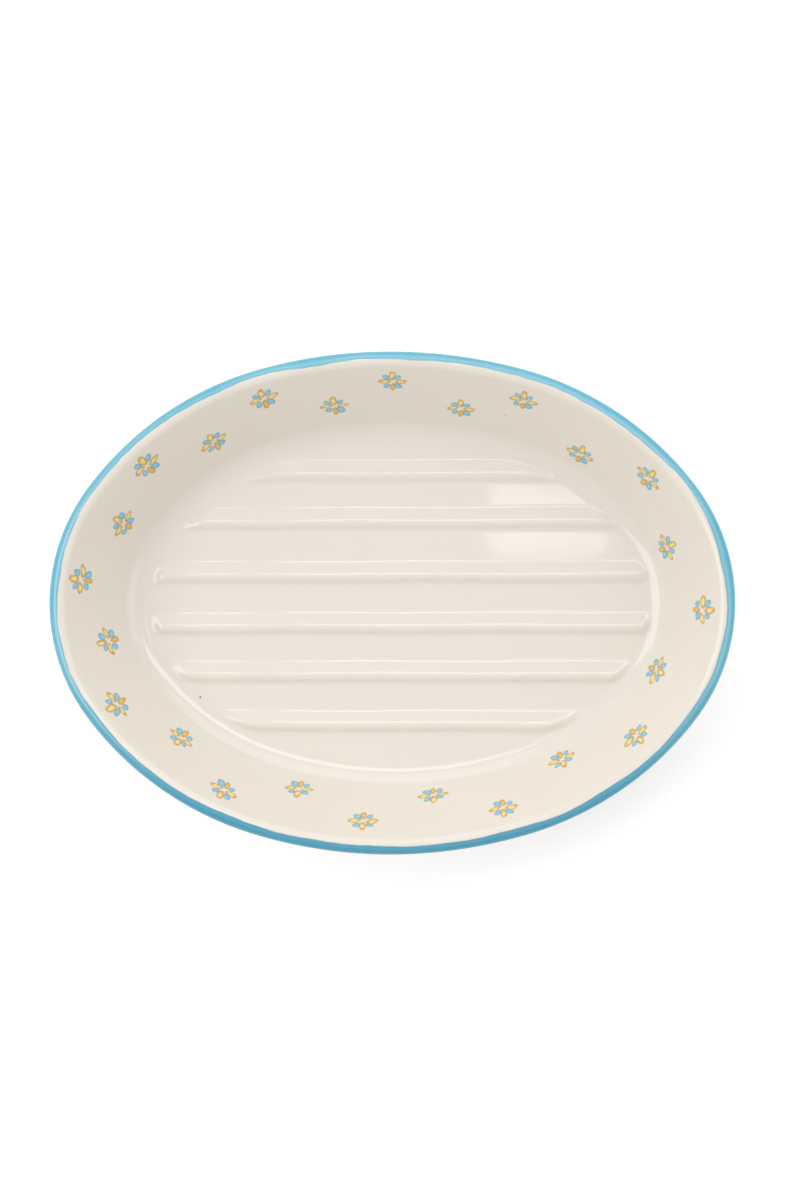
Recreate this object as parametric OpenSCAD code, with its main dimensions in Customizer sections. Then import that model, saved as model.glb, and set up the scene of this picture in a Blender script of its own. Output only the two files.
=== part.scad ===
// Oval soap dish of glazed stoneware with six soap ribs and a banded rim.
// Millimetres, +Z up, length along X. The origin is on the plane that the dish
// stands on, under the middle of the oval.

/* [Outline] */
// Overall length of the dish, over the glaze
length = 150; // [136:1:164]
// Overall width of the dish, over the glaze
width = 110; // [102:1:120]
// Overall height from the table to the top of the lip
height = 26; // [23:0.5:32]
// Radius of the outline at the two ends of its length
end_radius = 42; // [41:0.5:44]

/* [Wall] */
// Thickness of the flared wall, over the glaze
wall = 4; // [3.25:0.25:4.75]
// Slope of the wall, in degrees from level
wall_slope = 55; // [50:1:60]
// Radius of the hollow curve from the wall to the floor, inside
inner_fillet = 6.5; // [5:0.5:8]
// Radius of the round turn from the wall to the underside
outer_round = 6; // [4.5:0.5:7]

/* [Floor] */
// Thickness of the floor, over the glaze
floor_thickness = 5; // [4:0.25:6]

/* [Soap ribs] */
// Number of ribs, side by side across the width
rib_count = 6; // [3:1:6]
// Distance from the middle of the outermost rib to the edge of the flat floor
rib_side_gap = 7.6; // [6:0.2:10]
// Height of a rib over the floor
rib_height = 1.7; // [1.4:0.1:2.1]
// Radius of a rib's crest
rib_crest = 2; // [1.7:0.1:2.3]
// Radius of the hollow along a rib's foot
rib_fillet = 1.5; // [1.3:0.1:1.8]
// Gap between a rib's tip and the edge of the flat floor
rib_end_gap = 1; // [0:0.25:4]

/* [Foot ring] */
// Height of the foot ring, which is the depth of the recess inside it
foot_height = 2.5; // [2:0.25:3.5]
// Width of the foot ring, over the glaze
foot_width = 4.5; // [3.5:0.25:5.5]
// Distance from the outline in to the foot ring
foot_inset = 20; // [19:0.5:22]
// Radius of the hollow between the foot ring and the underside
foot_cove = 1; // [0.7:0.1:1.2]
// Radius of the foot ring's wiped edges
foot_edge = 0.6; // [0.3:0.1:0.9]
// Height of bare clay on the foot ring
bare_height = 0.9; // [0.6:0.1:1.2]

/* [Glaze] */
// Thickness of the fired glaze
glaze = 0.5; // [0.3:0.05:0.6]
// Width of the coloured band, seen from above
band_width = 1.9; // [1.4:0.1:2.4]
// Length of the coloured band down the outside of the wall
band_drop = 3; // [1:0.25:5]

/* [Hidden] */
$fn = 96;

// Turn of a section's arcs from one point to the next, in degrees
arc_step = 18;
// Turn of the flat floor's wider arcs from one point to the next, in degrees
plan_step = 6;
// Depth by which a cut runs past what it cuts
overrun = 1;
// Depth by which a rib's foot crosses the floor, so that it meets it at an angle
rib_bite = 0.03;
// Overlap of the flat floor and the swept wall
lap = 1;
// Grid to which the ribs' lengths and places are rounded
rib_grid = 0.1;

// The outline has eight arcs of three radii. They meet along the directions of
// a 3-4-5 and a 7-24-25 triangle, so that their centres are round numbers.
half_length = length / 2;
half_width = width / 2;
first_turn = [4, 3] / 5;
second_turn = [7, 24] / 25;
length_left = half_length - end_radius * (1 - first_turn.x);
width_left = half_width - end_radius * first_turn.y;
turn = second_turn - first_turn;
turn_size = turn.x * (second_turn.y - 1) - second_turn.x * turn.y;
shoulder_radius = (length_left * (1 - second_turn.y) - width_left * second_turn.x) / turn_size;
side_radius = -(turn.x * width_left + turn.y * length_left) / turn_size;
end_centre = [half_length - end_radius, 0];
shoulder_centre = end_centre - (shoulder_radius - end_radius) * first_turn;
side_centre = shoulder_centre - (side_radius - shoulder_radius) * second_turn;

// The section is drawn as [distance in from the outline, height]. A depth of
// zero gives the surface of the glaze, and a depth of glaze that of the clay.
lip_radius = wall / 2;
lip_centre = [lip_radius, height - lip_radius];
inward = [sin(wall_slope), cos(wall_slope)];
inward_angle = 90 - wall_slope;
outward_angle = inward_angle + 180;
floor_height = foot_height + floor_thickness;
fillet_centre = let (z = floor_height + inner_fillet)
    [lip_centre.x + (lip_radius + inner_fillet - inward.y * (z - lip_centre.y)) / inward.x, z];
round_centre = let (z = foot_height + outer_round)
    [lip_centre.x + (outer_round - lip_radius - inward.y * (z - lip_centre.y)) / inward.x, z];
cove_centre = [foot_inset - foot_cove, foot_height - foot_cove];
foot_end = foot_inset + foot_width;
inner_cove_centre = [foot_end + foot_cove, foot_height - foot_cove];
band_angle = acos((band_width - lip_radius) / lip_radius);
band_foot = lip_centre - lip_radius * inward + band_drop * [inward.y, -inward.x];
section_end = inner_cove_centre.x + lap;

// The outermost ribs stand this far from the middle, and the others between them
rib_spread = round((half_width - fillet_centre.x - rib_side_gap) / rib_grid) * rib_grid;
rib_rows = [for (i = [0 : rib_count - 1]) rib_spread * (2 * i / (rib_count - 1) - 1)];

// Half the width of a rib where its hollow foot reaches the floor
rib_centres = rib_crest + rib_fillet;
rib_turn = acos((rib_centres - rib_height - rib_bite) / rib_centres);
rib_reach = rib_centres * sin(rib_turn);

function arc(centre, radius, from, to, step = arc_step) =
    let (steps = max(ceil(abs(to - from) / step), 1))
    [for (i = [0 : steps]) let (a = from + (to - from) * i / steps)
        centre + radius * [cos(a), sin(a)]];

function backwards(points) = [for (i = [len(points) - 1 : -1 : 0]) points[i]];

// A line of points without its first one, which the line before it ends with
function onward(points) = [for (i = [1 : len(points) - 1]) points[i]];

// From the band's inner edge down the wall and along the floor
function inner_line(depth) = concat(
    arc(lip_centre, lip_radius - depth, band_angle, inward_angle),
    arc(fillet_centre, inner_fillet + depth, outward_angle, 270),
    [[section_end, floor_height - depth]]);

// From the band's inner edge over the lip and down the outside
function band_line(depth) = concat(
    arc(lip_centre, lip_radius - depth, band_angle, 180),
    onward(arc(lip_centre, lip_radius - depth, 180, outward_angle)),
    [band_foot + depth * inward]);

// From under the band down the wall and round to the foot ring
function outer_line(depth) = concat(
    [band_foot + depth * inward],
    arc(round_centre, outer_round - depth, outward_angle, 270),
    arc(cove_centre, foot_cove + depth, 90, 0),
    [[foot_inset + depth, bare_height]]);

// From the foot ring's inner side across the recess
function base_line(depth) = concat(
    [[foot_end - depth, bare_height]],
    arc(inner_cove_centre, foot_cove + depth, 180, 90),
    [[section_end, foot_height + depth]]);

// The wiped foot of bare clay, from its outer side to its inner side
function foot_line() = concat(
    arc([foot_inset + glaze + foot_edge, foot_edge], foot_edge, 180, 270),
    arc([foot_end - glaze - foot_edge, foot_edge], foot_edge, 270, 360));

function coat(outside, inside) = concat(outside, backwards(inside));

// Half the length of the outline's inset copy, at a distance y from the middle
function half_chord(inset, y) =
    let (joint = end_centre.y + (end_radius - inset) * first_turn.y,
        centre = y < joint ? end_centre : shoulder_centre,
        radius = (y < joint ? end_radius : shoulder_radius) - inset)
    centre.x + sqrt(pow(radius, 2) - pow(y - centre.y, 2));

// One arc of the outline carries the section round, between two directions
module sector(centre, radius, from, to) {
    // Whole, so that the cut's corners are round numbers and the sectors meet
    reach = ceil(2 * radius);
    translate(centre)
        intersection() {
            rotate_extrude()
                translate([radius, 0])
                    mirror([1, 0])
                        children();
            translate([0, 0, -height])
                linear_extrude(3 * height)
                    polygon([[0, 0], reach * from, reach * to]);
        }
}

// The whole outline carries the section round
module swept() {
    for (sx = [1, -1]) {
        sector([sx * end_centre.x, 0], end_radius,
            [sx * first_turn.x, -first_turn.y], [sx * first_turn.x, first_turn.y])
            children();
        for (sy = [1, -1])
            sector([sx * shoulder_centre.x, sy * shoulder_centre.y], shoulder_radius,
                [sx * first_turn.x, sy * first_turn.y], [sx * second_turn.x, sy * second_turn.y])
                children();
        sector([0, sx * side_centre.y], side_radius,
            [-second_turn.x, sx * second_turn.y], [second_turn.x, sx * second_turn.y])
            children();
    }
}

// A flat plate under the middle of the dish, whose edge is inside the swept part
module plate(from, to) {
    inset = section_end - lap / 2;
    first_angle = atan2(first_turn.y, first_turn.x);
    second_angle = atan2(second_turn.y, second_turn.x);
    quarter = concat(
        arc(end_centre, end_radius - inset, 0, first_angle, plan_step),
        onward(arc(shoulder_centre, shoulder_radius - inset, first_angle, second_angle, plan_step)),
        onward(arc(side_centre, side_radius - inset, second_angle, 90, plan_step)));
    half = concat(quarter, onward([for (p = backwards(quarter)) [-p.x, p.y]]));
    below = [for (p = backwards(half)) if (p.y > 0) [p.x, -p.y]];
    translate([0, 0, from])
        linear_extrude(to - from)
            polygon(concat(half, below));
}

// Half the section of a rib, from its middle out to its hollow foot
function rib_line() = concat(
    [[0, floor_height - glaze - overrun]],
    arc([0, floor_height + rib_height - rib_crest], rib_crest, 90, 90 - rib_turn),
    onward(arc([rib_reach, floor_height + rib_fillet - rib_bite], rib_fillet,
        270 - rib_turn, 270)),
    [[rib_reach, floor_height - glaze - overrun]]);

// Half of a rib, from the middle of its length to its rounded tip
module half_rib(run) {
    outline = rib_line();
    side = onward(outline);
    rotate([90, 0, 90])
        linear_extrude(run)
            polygon(concat(side, [for (p = backwards(onward(side))) [-p.x, p.y]]));
    translate([run, 0, 0])
        rotate(-90)
            rotate_extrude(angle = 180)
                polygon(outline);
}

// A rib, which runs until its foot meets the hollow curve of the wall
module rib(y) {
    tip = half_chord(fillet_centre.x, max(abs(y) - rib_reach, 0)) - rib_end_gap;
    run = round((tip - rib_reach) / rib_grid) * rib_grid;
    translate([0, y, 0]) {
        half_rib(run);
        mirror([1, 0, 0])
            half_rib(run);
    }
}

// The clay's floor and the hollow curve round it, which the ribs lie on
module bed() {
    hollow = arc(fillet_centre, inner_fillet + glaze, outward_angle, 270);
    swept()
        polygon(concat(hollow, [
            [section_end, floor_height - glaze],
            [section_end, foot_height + glaze],
            [hollow[0].x, foot_height + glaze]
        ]));
    plate(foot_height + glaze, floor_height - glaze);
}

// The clay of the wall, floor and foot ring, in one
module clay() {
    swept()
        polygon(concat(backwards(inner_line(glaze)), onward(band_line(glaze)),
            onward(outer_line(glaze)), foot_line(), base_line(glaze)));
    plate(foot_height + glaze, floor_height - glaze);
}

module stoneware_body() {
    color("#cdb79a")
        clay();
}

module soap_ribs() {
    color("#efebe0")
        for (y = rib_rows)
            difference() {
                rib(y);
                bed();
            }
}

module inner_glaze() {
    color("#e8e3d6")
        difference() {
            union() {
                swept()
                    polygon(coat(inner_line(0), inner_line(glaze)));
                plate(floor_height - glaze, floor_height);
            }
            for (y = rib_rows)
                rib(y);
        }
}

module outer_glaze() {
    color("#e8e3d6")
        swept()
            polygon(coat(outer_line(0), outer_line(glaze)));
}

module base_glaze() {
    color("#e8e3d6") {
        swept()
            polygon(coat(base_line(0), base_line(glaze)));
        plate(foot_height, foot_height + glaze);
    }
}

module rim_glaze() {
    color("#7fb9cf")
        swept()
            polygon(coat(band_line(0), band_line(glaze)));
}

stoneware_body();
soap_ribs();
inner_glaze();
outer_glaze();
base_glaze();
rim_glaze();
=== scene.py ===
"""Soap dish of glazed stoneware: an oval bowl with six soap ribs and a banded lip."""

import random
from math import atan2, cos, pi, radians, sin, sqrt, tan

import bmesh
import bpy
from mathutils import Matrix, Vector, kdtree


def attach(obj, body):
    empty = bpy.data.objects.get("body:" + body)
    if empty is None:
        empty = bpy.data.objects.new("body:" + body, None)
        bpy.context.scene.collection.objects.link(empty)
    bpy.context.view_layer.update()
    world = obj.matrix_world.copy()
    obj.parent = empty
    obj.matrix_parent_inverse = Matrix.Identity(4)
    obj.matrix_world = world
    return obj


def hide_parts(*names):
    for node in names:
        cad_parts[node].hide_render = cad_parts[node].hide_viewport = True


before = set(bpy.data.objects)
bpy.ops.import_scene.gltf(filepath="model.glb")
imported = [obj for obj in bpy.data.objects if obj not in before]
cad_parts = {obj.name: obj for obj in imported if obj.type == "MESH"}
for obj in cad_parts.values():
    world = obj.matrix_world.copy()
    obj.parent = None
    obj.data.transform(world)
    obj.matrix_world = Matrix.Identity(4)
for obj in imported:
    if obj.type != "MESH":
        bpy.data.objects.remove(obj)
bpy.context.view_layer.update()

# Stoneware body
# Buff stoneware, pressed over an oval mould and fired. Its foot ring is trimmed
# and wiped bare, and the ring's lower edge is all of it that the glaze leaves open.

mm = 0.001
half_length = 75 * mm
half_width = 55 * mm
height = 26 * mm
end_radius = 42 * mm
shoulder_radius = 71 * mm
side_radius = 106 * mm
# The oval has three arcs to a quarter, which meet where the wall faces these two ways
first_turn = Vector((4, 3)) / 5
second_turn = Vector((7, 24)) / 25
end_centre = Vector((half_length - end_radius, 0))
shoulder_centre = end_centre - (shoulder_radius - end_radius) * first_turn
side_centre = shoulder_centre - (side_radius - shoulder_radius) * second_turn
# Each arc's centre, radius and the facing at which it ends, from the +X end on
plan_arcs = (
    (end_centre, end_radius, atan2(first_turn.y, first_turn.x)),
    (shoulder_centre, shoulder_radius, atan2(second_turn.y, second_turn.x)),
    (side_centre, side_radius, pi / 2),
)

wall = 4 * mm
wall_slope = radians(55)
floor_thickness = 5 * mm
inner_fillet = 6.5 * mm
outer_round = 6 * mm
foot_height = 2.5 * mm
foot_width = 4.5 * mm
foot_inset = 20 * mm
foot_cove = 1 * mm
foot_edge = 0.6 * mm
bare_height = 0.9 * mm
glaze = 0.5 * mm
plate_lap = 1 * mm

# A section's points are [distance in from the outline, height]
lip_radius = wall / 2
lip_centre = Vector((lip_radius, height - lip_radius))
inward = Vector((sin(wall_slope), cos(wall_slope)))
inward_angle = pi / 2 - wall_slope
outward_angle = inward_angle + pi
down_wall = Vector((inward.y, -inward.x))
floor_height = foot_height + floor_thickness


def touching(radius, level, side):
    """Centre of the arc that joins a level face to one side of the wall."""
    rise = level + radius - lip_centre.y
    return lip_centre + Vector(((side * lip_radius + radius - inward.y * rise) / inward.x, rise))


fillet_centre = touching(inner_fillet, floor_height, 1)
round_centre = touching(outer_round, foot_height, -1)
cove_centre = Vector((foot_inset - foot_cove, foot_height - foot_cove))
foot_end = foot_inset + foot_width
inner_cove_centre = Vector((foot_end + foot_cove, foot_height - foot_cove))


def arc(centre, radius, start, end, steps):
    """Points of an arc of the section, with both of its ends."""
    angles = (start + (end - start) * i / steps for i in range(steps + 1))
    return [centre + radius * Vector((cos(a), sin(a))) for a in angles]


def plan_point(facing, inset):
    """The point of the outline's inset copy at which the wall faces that way."""
    outward = Vector((cos(facing), sin(facing)))
    quarter = atan2(abs(outward.y), abs(outward.x))
    centre, radius = next((c, r) for c, r, last in plan_arcs if quarter <= last)
    x = centre.x if outward.x >= 0 else -centre.x
    y = centre.y if outward.y >= 0 else -centre.y
    return Vector((x, y)) + (radius - inset) * outward


# Warp that the fire leaves: the lip swings in and out, and none of it reaches the foot
shrink = 0.9965
swing_share = 0.0022
lip_dip = 0.1 * mm
# How many swings or dips stand round the lip, how strong they are and where they start
swings = ((2, 0.6, 0.9), (3, 0.5, -0.6), (5, 0.35, 2.1))
dips = ((2, 1, -1.1), (3, 0.6, 0.4))
highest = sum(strength for count, strength, start in dips)


def waves(parts, turn):
    """The swings or the dips added up at a turn round the lip."""
    return sum(strength * cos(count * turn + start) for count, strength, start in parts)


def fired(point):
    """Where a point lies once the dish has dried and warped a little in the fire."""
    turn = atan2(point.y, point.x)
    rise = max(point.z, 0) / height
    plan = shrink * (1 + swing_share * waves(swings, turn) * rise)
    # The dips only ever lower the lip
    dip = lip_dip * rise ** 3 * (waves(dips, turn) - highest)
    return Vector((point.x * plan, point.y * plan, point.z + dip))


def set_down(mesh, vertices, point):
    """Puts a row of vertices at one point of the section."""
    facings, insets = (mesh.verts.layers.float[name] for name in ("facing", "inset"))
    for vertex in vertices:
        vertex.co = plan_point(vertex[facings], point.x).to_3d()
        vertex.co.z = point.y
        vertex[insets] = point.x


def new_mesh():
    """A mesh whose vertices keep the way that they face and how far in they are."""
    mesh = bmesh.new()
    for name in ("facing", "inset"):
        mesh.verts.layers.float.new(name)
    return mesh


def walk(mesh, edges, section):
    """Extrudes a row of edges from point to point of the section, and returns the last row."""
    for point in section:
        made = bmesh.ops.extrude_edge_only(mesh, edges=edges)["geom"]
        edges = [item for item in made if isinstance(item, bmesh.types.BMEdge)]
        set_down(mesh, [item for item in made if isinstance(item, bmesh.types.BMVert)], point)
    return edges


def swept(section, columns, closed):
    """The section drawn round the oval, as a closed ring or as a plate with two faces."""
    mesh = new_mesh()
    facings = mesh.verts.layers.float["facing"]
    vertices = bmesh.ops.create_circle(mesh, segments=columns, radius=half_width)["verts"]
    for index, vertex in enumerate(vertices):
        vertex[facings] = 2 * pi * index / columns
    first = list(mesh.edges)
    set_down(mesh, vertices, section[0])
    last = walk(mesh, first, section[1:])
    if closed:
        bmesh.ops.bridge_loops(mesh, edges=first + last)
    else:
        for edges in (first, last):
            bmesh.ops.edgeloop_fill(mesh, edges=edges)
    return mesh


# An edge whose faces turn by more than this shows as a line
sharp_turn = radians(40)


def make_piece(mesh, name, material, slot, *nodes):
    """Fires the mesh, and makes it a piece that stands for its CAD nodes."""
    for vertex in mesh.verts:
        vertex.co = fired(vertex.co)
    bmesh.ops.recalc_face_normals(mesh, faces=mesh.faces)
    for face in mesh.faces:
        face.smooth = True
    for edge in mesh.edges:
        edge.smooth = edge.calc_face_angle(0) < sharp_turn
    data = bpy.data.meshes.new(name)
    mesh.to_mesh(data)
    mesh.free()
    data.materials.append(material)
    piece = bpy.data.objects.new(name, data)
    bpy.context.scene.collection.objects.link(piece)
    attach(piece, "root")
    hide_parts(*nodes)


def new_material(name):
    """Makes a material: its node tree, its shader, the place that its patterns read, and itself."""
    material = bpy.data.materials.new(name)
    material.use_nodes = True
    tree = material.node_tree
    place = tree.nodes.new("ShaderNodeTexCoord").outputs["Object"]
    return tree, tree.nodes["Principled BSDF"], place, material


def add_node(tree, kind, sockets, **fields):
    """Adds a shader node with its fields, and sets each socket or links it."""
    node = tree.nodes.new(kind)
    for name, value in fields.items():
        setattr(node, name, value)
    for key, value in sockets.items():
        if isinstance(value, bpy.types.NodeSocket):
            tree.links.new(value, node.inputs[key])
        else:
            node.inputs[key].default_value = value
    return node


def colour(code):
    """An sRGB hex colour as linear RGBA."""
    values = [int(code[i:i + 2], 16) / 255 for i in (1, 3, 5)]
    return [v / 12.92 if v <= 0.04045 else ((v + 0.055) / 1.055) ** 2.4 for v in values] + [1]


# Sandy and matt: fired clay scatters light evenly, and its grog shows as fine dots
clay_light = colour("#D9C7AB")
clay_dark = colour("#B59A76")
grog_size = 0.5 * mm
tooth_depth = 0.04 * mm

tree, shader, place, bare_clay = new_material("bare_buff_stoneware")
shader.inputs["Roughness"].default_value = 0.9
shader.inputs["IOR"].default_value = 1.5
grog = add_node(tree, "ShaderNodeTexNoise", {"Vector": place, "Scale": 1 / grog_size, "Detail": 4})
# A colour mix takes its share at 0 and its colours at 6 and 7, and gives the mix at 2
clay_tone = add_node(tree, "ShaderNodeMix", {
    0: grog.outputs["Fac"], 6: clay_light, 7: clay_dark}, data_type="RGBA")
tree.links.new(clay_tone.outputs[2], shader.inputs["Base Color"])
tooth = add_node(tree, "ShaderNodeBump", {
    "Height": grog.outputs["Fac"], "Strength": 0.6, "Distance": tooth_depth})
tree.links.new(tooth.outputs["Normal"], shader.inputs["Normal"])

columns = 480
body_section = (
    [Vector((fillet_centre.x + plate_lap, floor_height - glaze))]
    + arc(fillet_centre, inner_fillet + glaze, 3 * pi / 2, outward_angle, 8)
    + arc(lip_centre, lip_radius - glaze, inward_angle, outward_angle, 12)
    + arc(round_centre, outer_round - glaze, outward_angle, 3 * pi / 2, 8)
    + arc(cove_centre, foot_cove + glaze, pi / 2, 0, 5)
    + arc(Vector((foot_inset + glaze + foot_edge, foot_edge)), foot_edge, pi, 3 * pi / 2, 6)
    + arc(Vector((foot_end - glaze - foot_edge, foot_edge)), foot_edge, 3 * pi / 2, 2 * pi, 6)
    + arc(inner_cove_centre, foot_cove + glaze, pi, pi / 2, 5)
    + [Vector((inner_cove_centre.x + plate_lap, foot_height + glaze))]
)
make_piece(swept(body_section, columns, False), "stoneware_body_and_foot", bare_clay,
           "bare_stoneware", "stoneware_body")

# Cream glaze on the outside, from under the band to the foot
# The dish is dipped in a cream tin glaze. It runs down the wall and stops in an
# even line where the foot was wiped before firing.

# Smooth, opaque and warm, like thin enamel: a touch warmer where it runs thin than where
# it pools, with a few iron specks and slow swells in its skin
cream_pooled = colour("#E9E3D8")
cream_thin = colour("#E9E1D5")
cloud_size, cloud_share = 22 * mm, 0.8
swell_size = 9 * mm
swell_depth = 0.028 * mm
peel_size = 1.6 * mm
peel_depth = 0.0012 * mm
speck_spacing = 11 * mm
speck_size, speck_core = 0.25 * mm, 0.6
speck_tone = colour("#6A5747")


def fired_gloss(tree, shader, place, tone):
    """Gives a shader the gloss of fired glaze over a tone, with slow swells and a fine peel."""
    shader.inputs["Roughness"].default_value = 0.06
    shader.inputs["IOR"].default_value = 1.52
    swell = add_node(tree, "ShaderNodeTexNoise", {"Vector": place, "Scale": 1 / swell_size, "Detail": 1})
    waved = add_node(tree, "ShaderNodeBump", {"Height": swell.outputs["Fac"], "Distance": swell_depth})
    peel = add_node(tree, "ShaderNodeTexNoise", {"Vector": place, "Scale": 1 / peel_size, "Detail": 1})
    skin = add_node(tree, "ShaderNodeBump", {
        "Height": peel.outputs["Fac"], "Distance": peel_depth, "Normal": waved.outputs["Normal"]})
    tree.links.new(skin.outputs["Normal"], shader.inputs["Normal"])
    tree.links.new(tone, shader.inputs["Base Color"])


def cream(tree, place, pooling):
    """The cream glaze's tone between thin and pooled, with slow clouds and iron specks."""
    cloud = add_node(tree, "ShaderNodeTexNoise", {"Vector": place, "Scale": 1 / cloud_size, "Detail": 2})
    share = add_node(tree, "ShaderNodeMath", {
        0: cloud.outputs["Fac"], 1: cloud_share, 2: pooling}, operation="MULTIPLY_ADD")
    tone = add_node(tree, "ShaderNodeMix", {
        0: share.outputs["Value"], 6: cream_thin, 7: cream_pooled}, data_type="RGBA")
    cell = add_node(tree, "ShaderNodeTexVoronoi", {"Vector": place, "Scale": 1 / speck_spacing})
    speck = add_node(tree, "ShaderNodeMapRange", {
        "Value": cell.outputs["Distance"], "From Min": speck_size / speck_spacing,
        "From Max": speck_core * speck_size / speck_spacing})
    specked = add_node(tree, "ShaderNodeMix", {
        0: speck.outputs["Result"], 6: tone.outputs[2], 7: speck_tone}, data_type="RGBA")
    return specked.outputs[2]


outside_pooling = 0.1
tree, shader, place, cream_glaze = new_material("cream_tin_glaze")
fired_gloss(tree, shader, place, cream(tree, place, outside_pooling))

# The coat starts at the band's lower edge, this far down the outside
band_drop = 3 * mm
band_foot = lip_centre - lip_radius * inward + band_drop * down_wall


def outer_line(depth):
    """The outside's section, from the band down to the wiped foot, at a depth in the coat."""
    return ([band_foot + depth * inward]
            + arc(round_centre, outer_round - depth, outward_angle, 3 * pi / 2, 10)
            + arc(cove_centre, foot_cove + depth, pi / 2, 0, 6)
            + [Vector((foot_inset + depth, bare_height))])


outer_section = outer_line(0) + list(reversed(outer_line(glaze)))
make_piece(swept(outer_section, columns, True), "outer_glaze_coat", cream_glaze,
           "cream_glaze", "outer_glaze")

# Cream glaze inside the foot ring
# The same dip of cream tin glaze fills the shallow recess under the dish. It ends in
# an even line on the inner side of the wiped foot.


def base_line(depth):
    """The recess's section, from the wiped foot to the flat middle, at a depth in the coat."""
    return ([Vector((foot_end - depth, bare_height))]
            + arc(inner_cove_centre, foot_cove + depth, pi, pi / 2, 6)
            + [Vector((inner_cove_centre.x + plate_lap, foot_height + depth))])


base_section = list(reversed(base_line(0))) + base_line(glaze)
make_piece(swept(base_section, columns, False), "base_glaze_coat", cream_glaze,
           "cream_glaze", "base_glaze")

# Inside glaze with the soap ribs
# Six low ribs of the same clay run along the floor for the soap to drain on. The
# glaze flows over them and up the wall's hollow foot as one skin.

# Half the way from the front rib's line to the back one's. Each rib was laid by hand, a
# little behind its line, and the front one comes first here.
rib_spread = 28 * mm
rib_slips = [1.2 * mm, 1.0 * mm, 0.6 * mm, 0.8 * mm, 1.6 * mm, 1.0 * mm]
# A rib rises slowly from the back and falls more steeply to the front. Its crest and the
# foot of each side are rounds of these radii, and a side's slope is its steepest.
rib_crest = 2 * mm
front_foot, front_slope = 1.5 * mm, radians(41)
back_foot, back_slope = 2.2 * mm, radians(16.5)
# Its ends sink along the oval into the wall's hollow foot, and the whole set lies a
# little to the right
rib_edge, rib_sink = 18.3 * mm, 2.8 * mm
ribs_aside = 1.3 * mm
# Along its run the hand let it wander and swell a little, each rib at other places
rib_wander, wander_wave, wander_step = 0.07 * mm, 7 * mm, 2.3
rib_swell, swell_wave, swell_step = 0.03, 10 * mm, 4.1

# In front the crest's round meets the foot's, and at the back a flat flank lies between
rib_height = (rib_crest + front_foot) * (1 - cos(front_slope))
back_flank = (rib_height - (rib_crest + back_foot) * (1 - cos(back_slope))) / sin(back_slope)
front_reach = (rib_crest + front_foot) * sin(front_slope)
back_reach = (rib_crest + back_foot) * sin(back_slope) + back_flank * cos(back_slope)
rib_rows = [
    rib_spread * (2 * index / (len(rib_slips) - 1) - 1) + slip
    for index, slip in enumerate(rib_slips)
]


def rib_section(away):
    """Height of a rib over the floor, at a distance behind its crest."""
    if away > 0:
        foot, slope, reach = back_foot, back_slope, back_reach
    else:
        foot, slope, reach = front_foot, front_slope, front_reach
    away = abs(away)
    if away < rib_crest * sin(slope):
        return rib_height - rib_crest + sqrt(rib_crest ** 2 - away ** 2)
    if away > reach - foot * sin(slope):
        return foot - sqrt(foot ** 2 - max(reach - away, 0) ** 2)
    return foot * (1 - cos(slope)) + (reach - foot * sin(slope) - away) * tan(slope)


def rib_rise(point, facing, inset):
    """Height of the ribs over the floor at a point, by its facing and by how far in it is."""
    for index, row in enumerate(rib_rows):
        away = point.y - row - rib_wander * sin(point.x / wander_wave + wander_step * index)
        if -front_reach < away < back_reach:
            share = min(max((inset - rib_edge + ribs_aside * cos(facing)) / rib_sink, 0), 1)
            swell = 1 + rib_swell * sin(point.x / swell_wave + swell_step * index)
            return swell * rib_section(away) * share ** 2 * (3 - 2 * share)
    return 0


def facing_of(x, y):
    """The way that the wall outside a plan point faces, and how far in that point is."""
    for centre, radius, last in plan_arcs:
        run = Vector((abs(x), abs(y))) - centre
        if atan2(run.y, run.x) <= last:
            break
    return atan2(run.y if y >= 0 else -run.y, run.x if x >= 0 else -run.x), radius - run.length


def edge_point(reached):
    """The first point on a quarter of the floor's edge, from the +X end, that passes a test."""
    finest_turn = 1e-9
    low, high = 0, pi / 2
    while high - low > finest_turn:
        middle = (low + high) / 2
        if reached(plan_point(middle, fillet_centre.x)):
            high = middle
        else:
            low = middle
    return plan_point(low, fillet_centre.x)


# The floor is a grid, closer across the ribs than along them, and its columns crowd
# towards the ribs' ends. Its rows are straight out to straight_reach on each side of the
# middle, and beyond that they bulge to the oval, with the grid's corners at corner_level.
floor_rows, cap_rows, floor_columns = 214, 14, 170
straight_reach = 32 * mm
corner_level = 33.5 * mm
corner_place = edge_point(lambda point: point.y > corner_level).x
crowding = 0.5

mesh = new_mesh()
facings, insets = (mesh.verts.layers.float[name] for name in ("facing", "inset"))
rows = floor_rows + 2 * cap_rows
bmesh.ops.create_grid(mesh, x_segments=floor_columns, y_segments=rows, size=1)
straight_share = floor_rows / rows
# Half the floor's length at each row's level, and half its width at each column's place
lengths, widths = {}, {}
for vertex in mesh.verts:
    across, along = vertex.co.y, vertex.co.x
    along = (1 - crowding) * along + crowding * sin(pi / 2 * along)
    past = max(abs(across) - straight_share, 0) / (1 - straight_share)
    level = min(abs(across) / straight_share, 1) * straight_reach
    side_level = level + past * (corner_level - straight_reach)
    row, column = round(side_level, 7), round(abs(along), 7)
    if row not in lengths:
        lengths[row] = edge_point(lambda point: point.y > side_level).x
    if column not in widths:
        widths[column] = edge_point(lambda point: point.x <= corner_place * abs(along)).y
    level += past * (widths[column] - straight_reach)
    vertex.co = Vector((along * lengths[row], level if across >= 0 else -level, floor_height))
    vertex[facings], vertex[insets] = facing_of(vertex.co.x, vertex.co.y)

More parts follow.
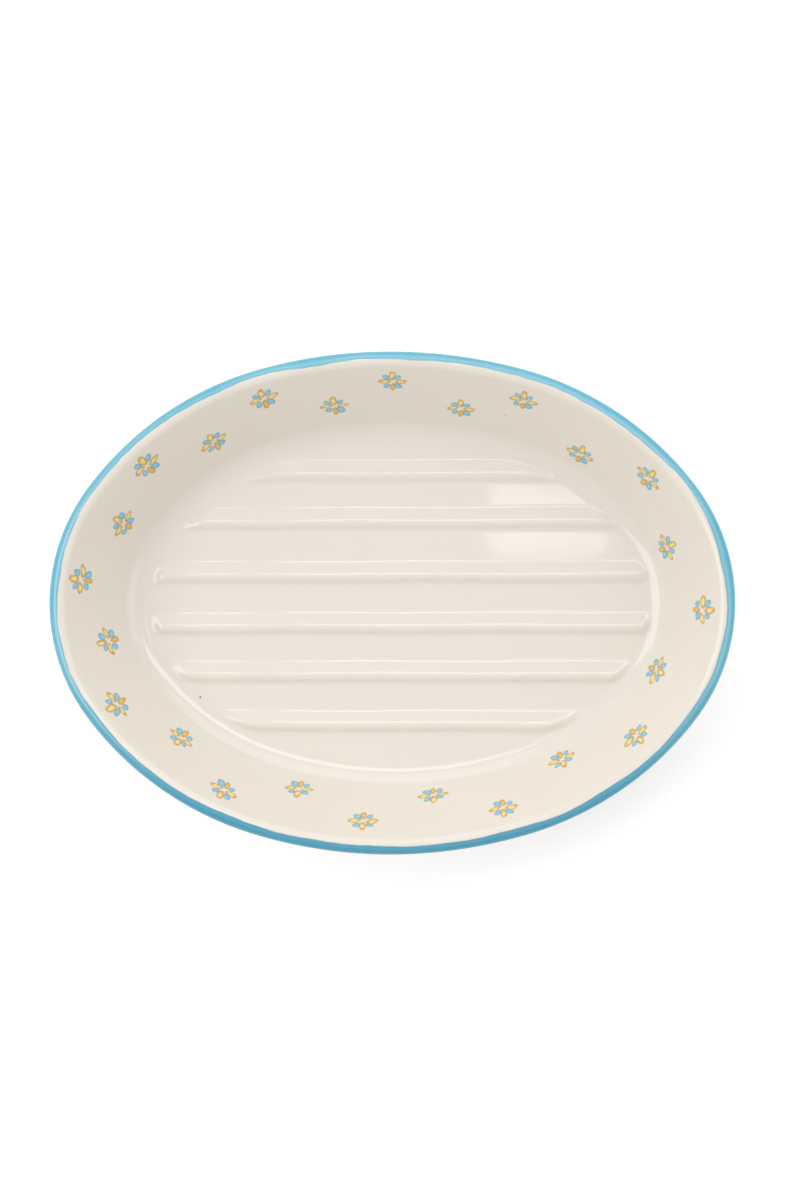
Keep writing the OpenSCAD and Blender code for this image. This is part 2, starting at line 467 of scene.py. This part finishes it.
# The wall rises from the grid's edge, up the hollow foot to just under the lip
seat_drop = 0.6 * mm
seat = lip_centre + lip_radius * inward + seat_drop * down_wall
fillet_top = fillet_centre - inner_fillet * inward
fillet_steps, wall_steps = 15, 14
inner_section = (
    arc(fillet_centre, inner_fillet, 3 * pi / 2, outward_angle, fillet_steps)[1:]
    + [fillet_top.lerp(seat, step / wall_steps) for step in range(1, wall_steps + 1)]
)
rim = walk(mesh, [edge for edge in mesh.edges if edge.is_boundary], inner_section)
for vertex in mesh.verts:
    rise = rib_rise(vertex.co, vertex[facings], vertex[insets])
    if rise > 0:
        # The glaze rounds the line in which a rib's tip meets the hollow foot
        vertex.co.z = floor_height + ((vertex.co.z - floor_height) ** 4 + rise ** 4) ** (1 / 4)
back_section = (
    [seat - glaze * inward]
    + arc(fillet_centre, inner_fillet + glaze, outward_angle, 3 * pi / 2, 4)
)
bmesh.ops.edgeloop_fill(mesh, edges=walk(mesh, rim, back_section))

# Painted sprigs stand round the wall in two rows, every other one high. A painter
# spaces them by eye, so they drift, and no two are the same size or stand quite straight.
sprig_count = 24
# Upper and lower row: how far in it lies, how far that swings round the rim, how far the
# hand slips, and how much flatter its sprigs look from above
sprig_rows = ((6.7 * mm, 0.4 * mm, 0.2 * mm, 0), (11.4 * mm, 1.35 * mm, 0.3 * mm, 0.1))
swing_start = 0.9
# The spacing is even along a line this far in, but for a drift and slips, which are
# shares of that line's length
spacing_inset = 9 * mm
drift_share, drift_start = 0.0095, 0.15
spacing_slip = 0.002
# How tall a sprig is for its width, which is less on the long sides than at the ends
sprig_tall, tall_swing = 1.08, 0.09
sprig_lean = radians(6)
sprig_spread = 0.05
painter = random.Random(7)


def facing_at(share):
    """The way that the wall faces at a share of its length round, from the +X end."""
    lengths = []
    before = 0
    for centre, radius, last in plan_arcs:
        lengths.append((radius - spacing_inset) * (last - before))
        before = last
    quarter = sum(lengths)
    turns, run = divmod(share * 4 * quarter, quarter)
    if turns % 2:
        run = quarter - run
    before = 0
    for (centre, radius, last), length in zip(plan_arcs, lengths):
        if run <= length:
            break
        run -= length
        before = last
    facing = before + run / (radius - spacing_inset)
    return turns * pi / 2 + (pi / 2 - facing if turns % 2 else facing)


sprigs = []
for index in range(sprig_count):
    share = index / sprig_count
    drift = drift_share * (1 - cos(2 * pi * (share - drift_start)))
    share += painter.uniform(-1, 1) * spacing_slip - drift
    row_inset, row_swing, row_slip, flatter = sprig_rows[index % 2]
    row_inset += row_swing * cos(2 * pi * (share - swing_start))
    row_inset += painter.uniform(-row_slip, row_slip)
    facing = facing_at(share % 1)
    tall = sprig_tall + tall_swing * cos(2 * facing) - flatter
    turn = facing + painter.uniform(-sprig_lean, sprig_lean)
    out, along = Vector((cos(turn), sin(turn))), Vector((-sin(turn), cos(turn)))
    along /= painter.uniform(1 - sprig_spread, 1 + sprig_spread)
    out /= tall * painter.uniform(1 - sprig_spread, 1 + sprig_spread)
    sprigs.append((plan_point(facing, row_inset), along, out))

nearest = kdtree.KDTree(sprig_count)
for index, (centre, along, out) in enumerate(sprigs):
    nearest.insert(centre.to_3d(), index)
nearest.balance()
# The map gives each face its place on the nearest sprig, in mm: round the rim, out to it
map_of_sprigs = mesh.loops.layers.uv.new("sprig")
for face in mesh.faces:
    middle = face.calc_center_median().xy.to_3d()
    centre, along, out = sprigs[nearest.find(middle)[1]]
    for corner in face.loops:
        run = (corner.vert.co.xy - centre) / mm
        corner[map_of_sprigs].uv = run.dot(along), run.dot(out)

# The same cream glaze, with opaque colours laid on it with a fine brush: ochre petals that
# dry darker at their edges, and sky-blue dabs over them
ochre_light = colour("#F8DF88")
ochre_full = colour("#EDC14C")
ochre_edge = colour("#C89637")
dab_light = colour("#98CCE2")
dab_dark = colour("#65ADCC")
# Sizes as seen from above, in mm: a mark's middle round the rim and out to it, its half
# size along and across, its turn in degrees and, for a petal, its fill
petals = (
    (0.0, 1.16, 0.78, 0.86, 0, ochre_light),
    (0.05, -1.04, 0.68, 0.74, 0, ochre_full),
    (1.88, 0.10, 1.40, 0.42, -4, ochre_light),
    (-1.88, -0.06, 1.38, 0.42, -5, ochre_light),
)
dabs = (
    (1.44, 0.84, 0.80, 0.46, 12),
    (-1.34, 0.84, 0.82, 0.46, -12),
    (1.50, -0.80, 0.74, 0.44, -8),
    (-1.24, -0.90, 0.94, 0.52, 10),
)
# The brush wanders slowly, and hairs stray at its edge: how far apart, and how far in mm
brush_wander_size, brush_wander = 2.4 * mm, 0.6
brush_edge_size, brush_edge = 0.45 * mm, 0.16
# Shares of a mark's half size: where its colour starts to darken and where it is darkest,
# and how soft its edge is. Blots in the colour shift where it darkens.
petal_dry, petal_soft = 0.35, 0.22
dab_dry, dab_soft = 0.2, 0.2
darkest = 0.85
blot_size, blot_share = 0.8 * mm, 0.6
# How much of the glaze under it the colour hides
brush_cover = 0.94
# The coat is thin on the wall, and pools over the hollow foot and on the floor
wall_inset, wall_pooling = 10 * mm, -0.25
floor_inset, floor_pooling = 17 * mm, 0.5

tree, shader, place, painted_glaze = new_material("cream_tin_glaze_with_painted_sprigs")
how_far_in = add_node(tree, "ShaderNodeAttribute", {}, attribute_name="inset").outputs["Fac"]
pooling = add_node(tree, "ShaderNodeMapRange", {
    "Value": how_far_in, "From Min": wall_inset, "From Max": floor_inset,
    "To Min": wall_pooling, "To Max": floor_pooling})
tone = cream(tree, place, pooling.outputs["Result"])

# A noise swings about 0.5, which is taken off it before it moves the strokes
stroke = add_node(tree, "ShaderNodeUVMap", {}, uv_map="sprig").outputs["UV"]
for size, reach in ((brush_wander_size, brush_wander), (brush_edge_size, brush_edge)):
    wander = add_node(tree, "ShaderNodeTexNoise", {"Vector": place, "Scale": 1 / size, "Detail": 0})
    wander = add_node(tree, "ShaderNodeVectorMath", {
        0: wander.outputs["Color"], 1: (0.5, 0.5, 0.5)}, operation="SUBTRACT")
    stroke = add_node(tree, "ShaderNodeVectorMath", {
        0: wander.outputs["Vector"], 1: (reach, reach, 0), 2: stroke},
        operation="MULTIPLY_ADD").outputs["Vector"]
blot = add_node(tree, "ShaderNodeTexNoise", {"Vector": place, "Scale": 1 / blot_size, "Detail": 1})


def painted(tree, tone, shape, fill, rim, dry, soft):
    """Lays one brush mark over a tone: its fill, and its rim where the colour dries darker."""
    x, y, half_along, half_across, turn = shape
    local = add_node(tree, "ShaderNodeMapping", {
        "Vector": stroke, "Location": (x, y, 0), "Rotation": (0, 0, radians(turn)),
        "Scale": (half_along, half_across, 1)}, vector_type="TEXTURE")
    away = add_node(tree, "ShaderNodeVectorMath", {0: local.outputs["Vector"]}, operation="LENGTH")
    drying = add_node(tree, "ShaderNodeMath", {
        0: blot.outputs["Fac"], 1: blot_share, 2: away.outputs["Value"]}, operation="MULTIPLY_ADD")
    dried = add_node(tree, "ShaderNodeMapRange", {
        "Value": drying.outputs["Value"], "From Min": dry + blot_share / 2,
        "From Max": darkest + blot_share / 2})
    mark = add_node(tree, "ShaderNodeMix", {
        0: dried.outputs["Result"], 6: fill, 7: rim}, data_type="RGBA")
    cover = add_node(tree, "ShaderNodeMapRange", {
        "Value": away.outputs["Value"], "From Min": 1 + soft, "From Max": 1 - soft,
        "To Max": brush_cover}, interpolation_type="SMOOTHSTEP")
    return add_node(tree, "ShaderNodeMix", {
        0: cover.outputs["Result"], 6: tone, 7: mark.outputs[2]}, data_type="RGBA").outputs[2]


for *shape, fill in petals:
    tone = painted(tree, tone, shape, fill, ochre_edge, petal_dry, petal_soft)
for shape in dabs:
    tone = painted(tree, tone, shape, dab_light, dab_dark, dab_dry, dab_soft)
fired_gloss(tree, shader, place, tone)
make_piece(mesh, "inner_glaze_and_soap_ribs", painted_glaze,
           "cream_glaze", "inner_glaze", "soap_ribs")

# Blue band over the lip
# Sky-blue glaze, laid by hand with a banding brush over the lip's outer half and down
# the outside. The cream glaze shows beyond its wavering edges.

lip_columns = 800
band_section = (
    arc(lip_centre, lip_radius, inward_angle, outward_angle, 26)
    + [band_foot, band_foot + glaze * inward]
    + arc(lip_centre, lip_radius - glaze, outward_angle, inward_angle, 10)
    + [seat - glaze * inward, seat]
)
mesh = swept(band_section, lip_columns, True)
insets = mesh.verts.layers.float["inset"]
lip_runs = mesh.verts.layers.float.new("run_from_crest")
for vertex in mesh.verts:
    # Outwards from the crest of the lip, along its round
    turn = atan2(vertex.co.z - lip_centre.y, lip_centre.x - vertex[insets])
    vertex[lip_runs] = lip_radius * (pi / 2 - turn)

# Glassy and even: a little paler where the brush ran dry, and deeper where it pools. Near the lip's
# crest it is painted paler as a highlight, and towards the front it is painted deeper as shade.
band_thin_and_highlight = colour("#A0D2DE")
band_pale = colour("#68B8CD")
band_deep = colour("#4AAAC5")
band_pool_and_shade = colour("#1F8EB0")
# It starts and ends at these runs outwards from the lip's crest, and its edges waver
band_start, band_end = 0.05 * mm, 5.6 * mm
band_waver_size, band_waver = 14 * mm, 1.1 * mm
band_tremor_size, band_tremor = 2.5 * mm, 0.25 * mm
band_soft = 0.16 * mm
# It is thin near the crest and painted paler there, partly thin glaze and partly a painted highlight,
# and the glaze pools in a line along both of its edges
thin_highlight_end, thin_highlight_share = 1.6 * mm, 0.7
pool_width, pool_share = 0.5 * mm, 0.7
# Painted shade: the front of the band, which faces away from the lights, is painted deeper with the
# edges' pooled blue
front_shade_start, front_shade_full, front_shade_share = -12 * mm, -48 * mm, 0.62
lip_pooling = -0.2

tree, shader, place, blue_glaze = new_material("sky_blue_banding_glaze")
tone = cream(tree, place, lip_pooling)
run = add_node(tree, "ShaderNodeAttribute", {}, attribute_name="run_from_crest").outputs["Fac"]
for size, reach in ((band_waver_size, band_waver), (band_tremor_size, band_tremor)):
    waver = add_node(tree, "ShaderNodeTexNoise", {"Vector": place, "Scale": 1 / size, "Detail": 0})
    waver = add_node(tree, "ShaderNodeMath", {0: waver.outputs["Fac"], 1: 0.5}, operation="SUBTRACT")
    run = add_node(tree, "ShaderNodeMath", {
        0: waver.outputs["Value"], 1: reach, 2: run}, operation="MULTIPLY_ADD").outputs["Value"]
cloud = add_node(tree, "ShaderNodeTexNoise", {"Vector": place, "Scale": 1 / cloud_size, "Detail": 2})
band = add_node(tree, "ShaderNodeMix", {
    0: cloud.outputs["Fac"], 6: band_pale, 7: band_deep}, data_type="RGBA").outputs[2]
# Painted highlight, partly thin glaze: the band is paler towards the lip's crest
thin_highlight = add_node(tree, "ShaderNodeMapRange", {
    "Value": run, "From Min": thin_highlight_end, "From Max": band_start, "To Max": thin_highlight_share},
    interpolation_type="SMOOTHSTEP")
band = add_node(tree, "ShaderNodeMix", {
    0: thin_highlight.outputs["Result"], 6: band, 7: band_thin_and_highlight}, data_type="RGBA").outputs[2]
where = add_node(tree, "ShaderNodeSeparateXYZ", {"Vector": place})
# Painted shade: the band is painted deeper towards the front, in the same blue as its pooled edges
front_shade = add_node(tree, "ShaderNodeMapRange", {
    "Value": where.outputs["Y"], "From Min": front_shade_start, "From Max": front_shade_full,
    "To Max": front_shade_share}, interpolation_type="SMOOTHSTEP")
band = add_node(tree, "ShaderNodeMix", {
    0: front_shade.outputs["Result"], 6: band, 7: band_pool_and_shade}, data_type="RGBA").outputs[2]
for edge_run, side in ((band_start, 1), (band_end, -1)):
    pool = add_node(tree, "ShaderNodeMapRange", {
        "Value": run, "From Min": edge_run, "From Max": edge_run + side * pool_width,
        "To Min": pool_share, "To Max": 0})
    band = add_node(tree, "ShaderNodeMix", {
        0: pool.outputs["Result"], 6: band, 7: band_pool_and_shade}, data_type="RGBA").outputs[2]
laid = add_node(tree, "ShaderNodeMapRange", {
    "Value": run, "From Min": band_start - band_soft, "From Max": band_start + band_soft},
    interpolation_type="SMOOTHSTEP")
left_off = add_node(tree, "ShaderNodeMapRange", {
    "Value": run, "From Min": band_end + band_soft, "From Max": band_end - band_soft},
    interpolation_type="SMOOTHSTEP")
covered = add_node(tree, "ShaderNodeMath", {
    0: laid.outputs["Result"], 1: left_off.outputs["Result"]}, operation="MULTIPLY")
tone = add_node(tree, "ShaderNodeMix", {
    0: covered.outputs["Value"], 6: tone, 7: band}, data_type="RGBA")
fired_gloss(tree, shader, place, tone.outputs[2])
make_piece(mesh, "lip_with_blue_band", blue_glaze, "blue_glaze", "rim_glaze")

# The table, the light and the camera
# A round of white paper under plain soft light: large softboxes stand behind, on the left
# and on the right. Overhead hang a long strip in two lengths and a small panel, which the
# glaze mirrors.

table_radius = 500 * mm
light_white = colour("#FFFFFF")
paper_white = colour("#F4F4F4")
paper_lift = 0.3


def seen_by_eye(tree):
    """1 for what the eye sees, mirrored or through glass too, and 0 for what lights the dish."""
    path = add_node(tree, "ShaderNodeLightPath", {})
    seen = path.outputs["Is Camera Ray"]
    for kind in ("Is Glossy Ray", "Is Transmission Ray"):
        seen = add_node(tree, "ShaderNodeMath", {
            0: seen, 1: path.outputs[kind]}, operation="MAXIMUM").outputs["Value"]
    return seen


# Matt and plain: paper scatters light evenly. The lift makes it look white to the eye
# alone, so it keeps its shadow.
tree, shader, place, table_paper = new_material("matt_white_paper")
shader.inputs["Base Color"].default_value = paper_white
shader.inputs["Roughness"].default_value = 0.9
lift = add_node(tree, "ShaderNodeMath", {0: seen_by_eye(tree), 1: paper_lift}, operation="MULTIPLY")
shader.inputs["Emission Color"].default_value = light_white
tree.links.new(lift.outputs["Value"], shader.inputs["Emission Strength"])

mesh = bmesh.new()
bmesh.ops.create_circle(mesh, cap_ends=True, segments=96, radius=table_radius)
data = bpy.data.meshes.new("table")
mesh.to_mesh(data)
mesh.free()
data.materials.append(table_paper)
table = bpy.data.objects.new("table", data)
bpy.context.scene.collection.objects.link(table)


def softbox(name, place, target, size, radiance):
    """A rectangular lamp, evenly bright all over, that faces a point. Lengths are in metres."""
    lamp = bpy.data.lights.new(name, "AREA")
    lamp.shape = "RECTANGLE"
    lamp.size, lamp.size_y = size
    lamp.energy = radiance * pi * lamp.size * lamp.size_y
    holder = bpy.data.objects.new(name, lamp)
    holder.location = place
    holder.rotation_euler = (Vector(target) - Vector(place)).to_track_quat("-Z", "Y").to_euler()
    bpy.context.scene.collection.objects.link(holder)


softbox("back_softbox", (0.2, 1.0, 0.62), (0.2, 0, 0), (1.2, 0.85), 0.9)
softbox("left_softbox", (-0.75, 0.0, 0.85), (0, 0, 0), (0.85, 0.7), 2.4)
softbox("right_softbox", (0.95, 0.0, 0.60), (0, 0, 0), (0.85, 0.7), 0.8)
softbox("top_strip", (0.22, 0.36, 0.95), (0.22, 0, 0), (0.7, 0.24), 2.8)
softbox("top_strip_end", (-0.167, 0.36, 0.95), (-0.167, 0, 0), (0.035, 0.24), 2.8)
softbox("overhead_panel", (0.012, 0.066, 0.95), (0.012, 0.066, 0), (0.056, 0.034), 3.6)

# A round studio tent, brighter at its sides than overhead, where the camera looks in
tent_top, tent_side = 0.33, 0.94
world = bpy.data.worlds.new("studio")
world.use_nodes = True
bpy.context.scene.world = world
tree = world.node_tree
way = add_node(tree, "ShaderNodeTexCoord", {})
rise = add_node(tree, "ShaderNodeSeparateXYZ", {"Vector": way.outputs["Generated"]})
tent = add_node(tree, "ShaderNodeMapRange", {
    "Value": rise.outputs["Z"], "To Min": tent_side, "To Max": tent_top})
light = add_node(tree, "ShaderNodeMapRange", {
    "Value": seen_by_eye(tree), "To Min": tent.outputs["Result"], "To Max": 1})
backdrop = tree.nodes["Background"]
backdrop.inputs["Color"].default_value = light_white
tree.links.new(light.outputs["Result"], backdrop.inputs["Strength"])

# The camera hangs almost straight over the dish, a little to its right and front
camera_place = Vector((52, -18, 750)) * mm
# The photograph's size in pixels, the rim's scale in pixels to a length, and its middle
image_width, image_height = 800, 1200
rim_scale = 4.61 / mm
rim_centre_px = Vector((389, 602))
aim = Vector((0, 0, height)) - camera_place
camera_data = bpy.data.cameras.new("camera")
camera = bpy.data.objects.new("camera", camera_data)
camera.location = camera_place
camera.rotation_euler = (atan2(aim.y, Vector((aim.x, aim.z)).length), atan2(-aim.x, -aim.z), 0)
camera_data.sensor_width = 36
camera_data.lens = rim_scale * aim.length * camera_data.sensor_width / image_height
# The photograph has the rim a little left of its middle and below it
camera_data.shift_x = (image_width / 2 - rim_centre_px.x) / image_height
camera_data.shift_y = (rim_centre_px.y - image_height / 2) / image_height
camera_data.clip_start = 10 * mm
bpy.context.scene.collection.objects.link(camera)
bpy.context.scene.camera = camera
bpy.context.scene.view_settings.view_transform = "Standard"
